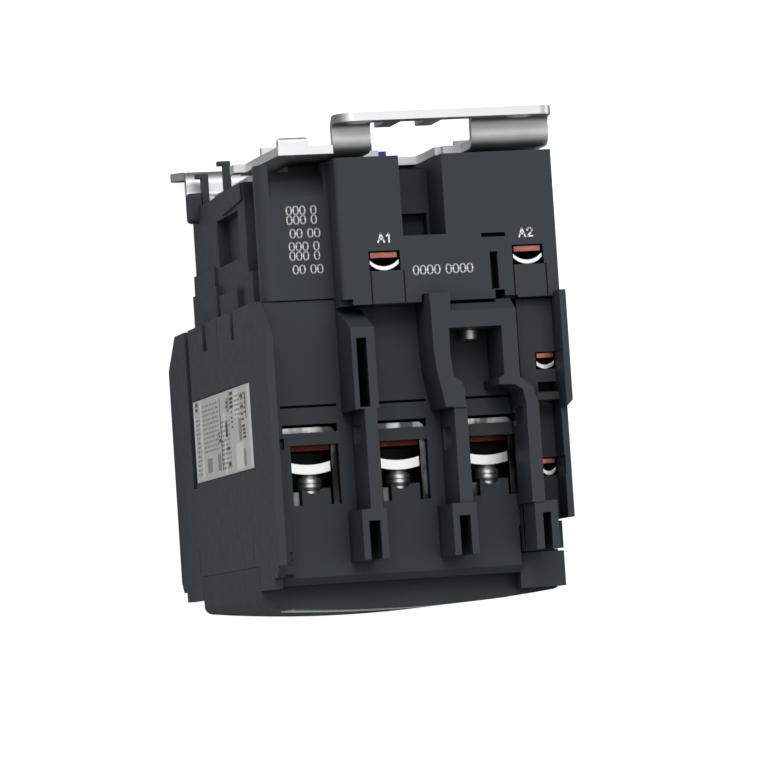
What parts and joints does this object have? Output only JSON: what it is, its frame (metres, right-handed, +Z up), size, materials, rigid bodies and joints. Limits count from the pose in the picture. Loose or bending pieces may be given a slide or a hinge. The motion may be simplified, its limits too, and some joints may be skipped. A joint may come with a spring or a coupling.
{
  "type": "din rail contactor",
  "caption": "Block-shaped power contactor for a DIN rail or panel: dark moulded housings, zinc-plated mounting plate, screw-clamp terminals at both ends, coil terminals at the rear.",
  "frame": {"origin": "on the panel plane (backs of the feet), at the middle of the body's width and height, which is the middle of the 35 mm rail", "axes": "+X right seen from the front, +Y back towards the panel, +Z up as mounted; the front cover faces -Y"},
  "size_m": [0.075, 0.119, 0.127],
  "materials": {
    "housing_plastic": "fine moulded grain",
    "inner_plastic": "moulded",
    "bobbin_plastic": "moulded",
    "latch_plastic": "moulded",
    "zinc_sheet": "bright zinc plated, rolled",
    "clamp_steel": "bright zinc plated, pressed",
    "screw_steel": "zinc plated, turned",
    "spring_steel": "bright drawn wire",
    "cage_steel": "nickel plated, polished",
    "laminations": "stacked silicon steel, varnished",
    "copper": "bare copper, slightly oxidised",
    "winding": "enamelled copper wire under film",
    "rubber_pad": "moulded",
    "label_foil": "silver-grey printed foil",
    "plate_print": "white plate with a green stripe"
  },
  "bodies": {
    "frame": {"mounting_plate": "zinc_sheet", "base_housing": "housing_plastic", "pole_housing": "housing_plastic", "aux_housing": "housing_plastic", "front_cover": "housing_plastic", "front_nameplate": "plate_print", "rating_label": "label_foil", "housing_screws": "screw_steel", "fixed_core": "laminations", "shading_rings": "copper", "core_pads": "rubber_pad", "coil_bobbin": "bobbin_plastic", "coil_winding": "winding", "coil_terminals": "copper", "coil_pin": "screw_steel", "return_springs": "spring_steel", "line_bars": "copper", "load_bars": "copper", "aux_contact_bars": "copper", "line_cages": "cage_steel", "load_cages": "cage_steel", "latch_spring": "spring_steel"},
    "carrier": {"contact_carrier": "inner_plastic", "armature": "laminations", "armature_pin": "spring_steel", "aux_slider": "inner_plastic", "contact_springs": "spring_steel"},
    "latch": {"rail_latch": "latch_plastic"},
    "bridge_1": {"contact_bridge_1": "copper"},
    "bridge_2": {"contact_bridge_2": "copper"},
    "bridge_3": {"contact_bridge_3": "copper"},
    "bridge_no": {"aux_bridge_no": "copper"},
    "bridge_nc": {"aux_bridge_nc": "copper"},
    "power_clamp_1": {"power_saddle_1": "clamp_steel"},
    "power_bolt_1": {"power_screw_1": "screw_steel"},
    "power_clamp_2": {"power_saddle_2": "clamp_steel"},
    "power_bolt_2": {"power_screw_2": "screw_steel"},
    "power_clamp_3": {"power_saddle_3": "clamp_steel"},
    "power_bolt_3": {"power_screw_3": "screw_steel"},
    "power_clamp_4": {"power_saddle_4": "clamp_steel"},
    "power_bolt_4": {"power_screw_4": "screw_steel"},
    "power_clamp_5": {"power_saddle_5": "clamp_steel"},
    "power_bolt_5": {"power_screw_5": "screw_steel"},
    "power_clamp_6": {"power_saddle_6": "clamp_steel"},
    "power_bolt_6": {"power_screw_6": "screw_steel"},
    "control_plate_1": {"control_clamp_1": "clamp_steel"},
    "control_bolt_1": {"control_screw_1": "screw_steel"},
    "control_plate_2": {"control_clamp_2": "clamp_steel"},
    "control_bolt_2": {"control_screw_2": "screw_steel"},
    "control_plate_3": {"control_clamp_3": "clamp_steel"},
    "control_bolt_3": {"control_screw_3": "screw_steel"},
    "control_plate_4": {"control_clamp_4": "clamp_steel"},
    "control_bolt_4": {"control_screw_4": "screw_steel"},
    "control_plate_5": {"control_clamp_5": "clamp_steel"},
    "control_bolt_5": {"control_screw_5": "screw_steel"},
    "control_plate_6": {"control_clamp_6": "clamp_steel"},
    "control_bolt_6": {"control_screw_6": "screw_steel"},
    "control_plate_7": {"control_clamp_7": "clamp_steel"},
    "control_bolt_7": {"control_screw_7": "screw_steel"}
  },
  "joints": [
    {"name": "carrier_slide", "type": "slide", "parent": "frame", "child": "carrier", "axis": [0, 1, 0], "range_m": [0, 0.0055], "stiffness_N_per_m": 300, "springref_m": -0.01, "deforming": ["return_springs"]},
    {"name": "bridge_1_slide", "type": "slide", "parent": "carrier", "child": "bridge_1", "axis": [0, 1, 0], "range_m": [-0.00176, 0], "deforming": ["contact_springs"]},
    {"name": "bridge_2_slide", "type": "slide", "parent": "carrier", "child": "bridge_2", "axis": [0, 1, 0], "range_m": [-0.00176, 0]},
    {"name": "bridge_3_slide", "type": "slide", "parent": "carrier", "child": "bridge_3", "axis": [0, 1, 0], "range_m": [-0.00176, 0]},
    {"name": "bridge_no_slide", "type": "slide", "parent": "carrier", "child": "bridge_no", "axis": [0, 1, 0], "range_m": [-0.00176, 0]},
    {"name": "bridge_nc_slide", "type": "slide", "parent": "carrier", "child": "bridge_nc", "axis": [0, 1, 0], "range_m": [-0.00176, 0]},
    {"name": "power_clamp_1_slide", "type": "slide", "parent": "frame", "child": "power_clamp_1", "axis": [0, 1, 0], "range_m": [-0.004, 0.0025]},
    {"name": "power_screw_1_turn", "type": "hinge", "parent": "power_clamp_1", "child": "power_bolt_1", "pos_m": [-0.0246, -0.1, 0.0433], "axis": [0, 1, 0], "range_deg": [-1800, 1125]},
    {"name": "power_clamp_2_slide", "type": "slide", "parent": "frame", "child": "power_clamp_2", "axis": [0, 1, 0], "range_m": [-0.004, 0.0025]},
    {"name": "power_screw_2_turn", "type": "hinge", "parent": "power_clamp_2", "child": "power_bolt_2", "pos_m": [-0.0024, -0.1, 0.0433], "axis": [0, 1, 0], "range_deg": [-1800, 1125]},
    {"name": "power_clamp_3_slide", "type": "slide", "parent": "frame", "child": "power_clamp_3", "axis": [0, 1, 0], "range_m": [-0.004, 0.0025]},
    {"name": "power_screw_3_turn", "type": "hinge", "parent": "power_clamp_3", "child": "power_bolt_3", "pos_m": [0.0198, -0.1, 0.0433], "axis": [0, 1, 0], "range_deg": [-1800, 1125]},
    {"name": "power_clamp_4_slide", "type": "slide", "parent": "frame", "child": "power_clamp_4", "axis": [0, 1, 0], "range_m": [-0.004, 0.0025]},
    {"name": "power_screw_4_turn", "type": "hinge", "parent": "power_clamp_4", "child": "power_bolt_4", "pos_m": [-0.0246, -0.1, -0.0433], "axis": [0, 1, 0], "range_deg": [-1800, 1125]},
    {"name": "power_clamp_5_slide", "type": "slide", "parent": "frame", "child": "power_clamp_5", "axis": [0, 1, 0], "range_m": [-0.004, 0.0025]},
    {"name": "power_screw_5_turn", "type": "hinge", "parent": "power_clamp_5", "child": "power_bolt_5", "pos_m": [-0.0024, -0.1, -0.0433], "axis": [0, 1, 0], "range_deg": [-1800, 1125]},
    {"name": "power_clamp_6_slide", "type": "slide", "parent": "frame", "child": "power_clamp_6", "axis": [0, 1, 0], "range_m": [-0.004, 0.0025]},
    {"name": "power_screw_6_turn", "type": "hinge", "parent": "power_clamp_6", "child": "power_bolt_6", "pos_m": [0.0198, -0.1, -0.0433], "axis": [0, 1, 0], "range_deg": [-1800, 1125]},
    {"name": "control_clamp_1_slide", "type": "slide", "parent": "frame", "child": "control_plate_1", "axis": [0, 1, 0], "range_m": [0, 0.0006]},
    {"name": "control_screw_1_turn", "type": "hinge", "parent": "control_plate_1", "child": "control_bolt_1", "pos_m": [-0.0056, -0.044, 0.0515], "axis": [0, 1, 0], "range_deg": [0, 360]},
    {"name": "control_clamp_2_slide", "type": "slide", "parent": "frame", "child": "control_plate_2", "axis": [0, 1, 0], "range_m": [0, 0.0006]},
    {"name": "control_screw_2_turn", "type": "hinge", "parent": "control_plate_2", "child": "control_bolt_2", "pos_m": [0.0288, -0.044, 0.0515], "axis": [0, 1, 0], "range_deg": [0, 360]},
    {"name": "control_clamp_3_slide", "type": "slide", "parent": "frame", "child": "control_plate_3", "axis": [0, 1, 0], "range_m": [0, 0.0006]},
    {"name": "control_screw_3_turn", "type": "hinge", "parent": "control_plate_3", "child": "control_bolt_3", "pos_m": [0.0336, -0.068, 0.0524], "axis": [0, 1, 0], "range_deg": [0, 360]},
    {"name": "control_clamp_4_slide", "type": "slide", "parent": "frame", "child": "control_plate_4", "axis": [0, 1, 0], "range_m": [0, 0.0006]},
    {"name": "control_screw_4_turn", "type": "hinge", "parent": "control_plate_4", "child": "control_bolt_4", "pos_m": [0.0341, -0.095, 0.0476], "axis": [0, 1, 0], "range_deg": [0, 360]},
    {"name": "control_clamp_5_slide", "type": "slide", "parent": "frame", "child": "control_plate_5", "axis": [0, 1, 0], "range_m": [0, 0.0006]},
    {"name": "control_screw_5_turn", "type": "hinge", "parent": "control_plate_5", "child": "control_bolt_5", "pos_m": [0.0288, -0.044, -0.0515], "axis": [0, 1, 0], "range_deg": [0, 360]},
    {"name": "control_clamp_6_slide", "type": "slide", "parent": "frame", "child": "control_plate_6", "axis": [0, 1, 0], "range_m": [0, 0.0006]},
    {"name": "control_screw_6_turn", "type": "hinge", "parent": "control_plate_6", "child": "control_bolt_6", "pos_m": [0.0336, -0.068, -0.0524], "axis": [0, 1, 0], "range_deg": [0, 360]},
    {"name": "control_clamp_7_slide", "type": "slide", "parent": "frame", "child": "control_plate_7", "axis": [0, 1, 0], "range_m": [0, 0.0006]},
    {"name": "control_screw_7_turn", "type": "hinge", "parent": "control_plate_7", "child": "control_bolt_7", "pos_m": [0.0341, -0.095, -0.0476], "axis": [0, 1, 0], "range_deg": [0, 360]},
    {"name": "rail_latch_slide", "type": "slide", "parent": "frame", "child": "latch", "axis": [0, 0, 1], "range_m": [0, 0.003], "stiffness_N_per_m": 1500, "springref_m": -0.004, "deforming": ["latch_spring"]}
  ],
  "couplings": [
    {"joint": "bridge_1_slide", "follows": "carrier_slide", "ratio": -0.31818},
    {"joint": "bridge_2_slide", "follows": "carrier_slide", "ratio": -0.31818},
    {"joint": "bridge_3_slide", "follows": "carrier_slide", "ratio": -0.31818},
    {"joint": "bridge_no_slide", "follows": "carrier_slide", "ratio": -0.31818},
    {"joint": "bridge_nc_slide", "follows": "carrier_slide", "ratio": -0.31818},
    {"joint": "power_screw_1_turn", "follows": "power_clamp_1_slide", "rad_per_m": 7854},
    {"joint": "power_screw_2_turn", "follows": "power_clamp_2_slide", "rad_per_m": 7854},
    {"joint": "power_screw_3_turn", "follows": "power_clamp_3_slide", "rad_per_m": 7854},
    {"joint": "power_screw_4_turn", "follows": "power_clamp_4_slide", "rad_per_m": 7854},
    {"joint": "power_screw_5_turn", "follows": "power_clamp_5_slide", "rad_per_m": 7854},
    {"joint": "power_screw_6_turn", "follows": "power_clamp_6_slide", "rad_per_m": 7854},
    {"joint": "control_screw_1_turn", "follows": "control_clamp_1_slide", "rad_per_m": 10472},
    {"joint": "control_screw_2_turn", "follows": "control_clamp_2_slide", "rad_per_m": 10472},
    {"joint": "control_screw_3_turn", "follows": "control_clamp_3_slide", "rad_per_m": 10472},
    {"joint": "control_screw_4_turn", "follows": "control_clamp_4_slide", "rad_per_m": 10472},
    {"joint": "control_screw_5_turn", "follows": "control_clamp_5_slide", "rad_per_m": 10472},
    {"joint": "control_screw_6_turn", "follows": "control_clamp_6_slide", "rad_per_m": 10472},
    {"joint": "control_screw_7_turn", "follows": "control_clamp_7_slide", "rad_per_m": 10472}
  ]
}
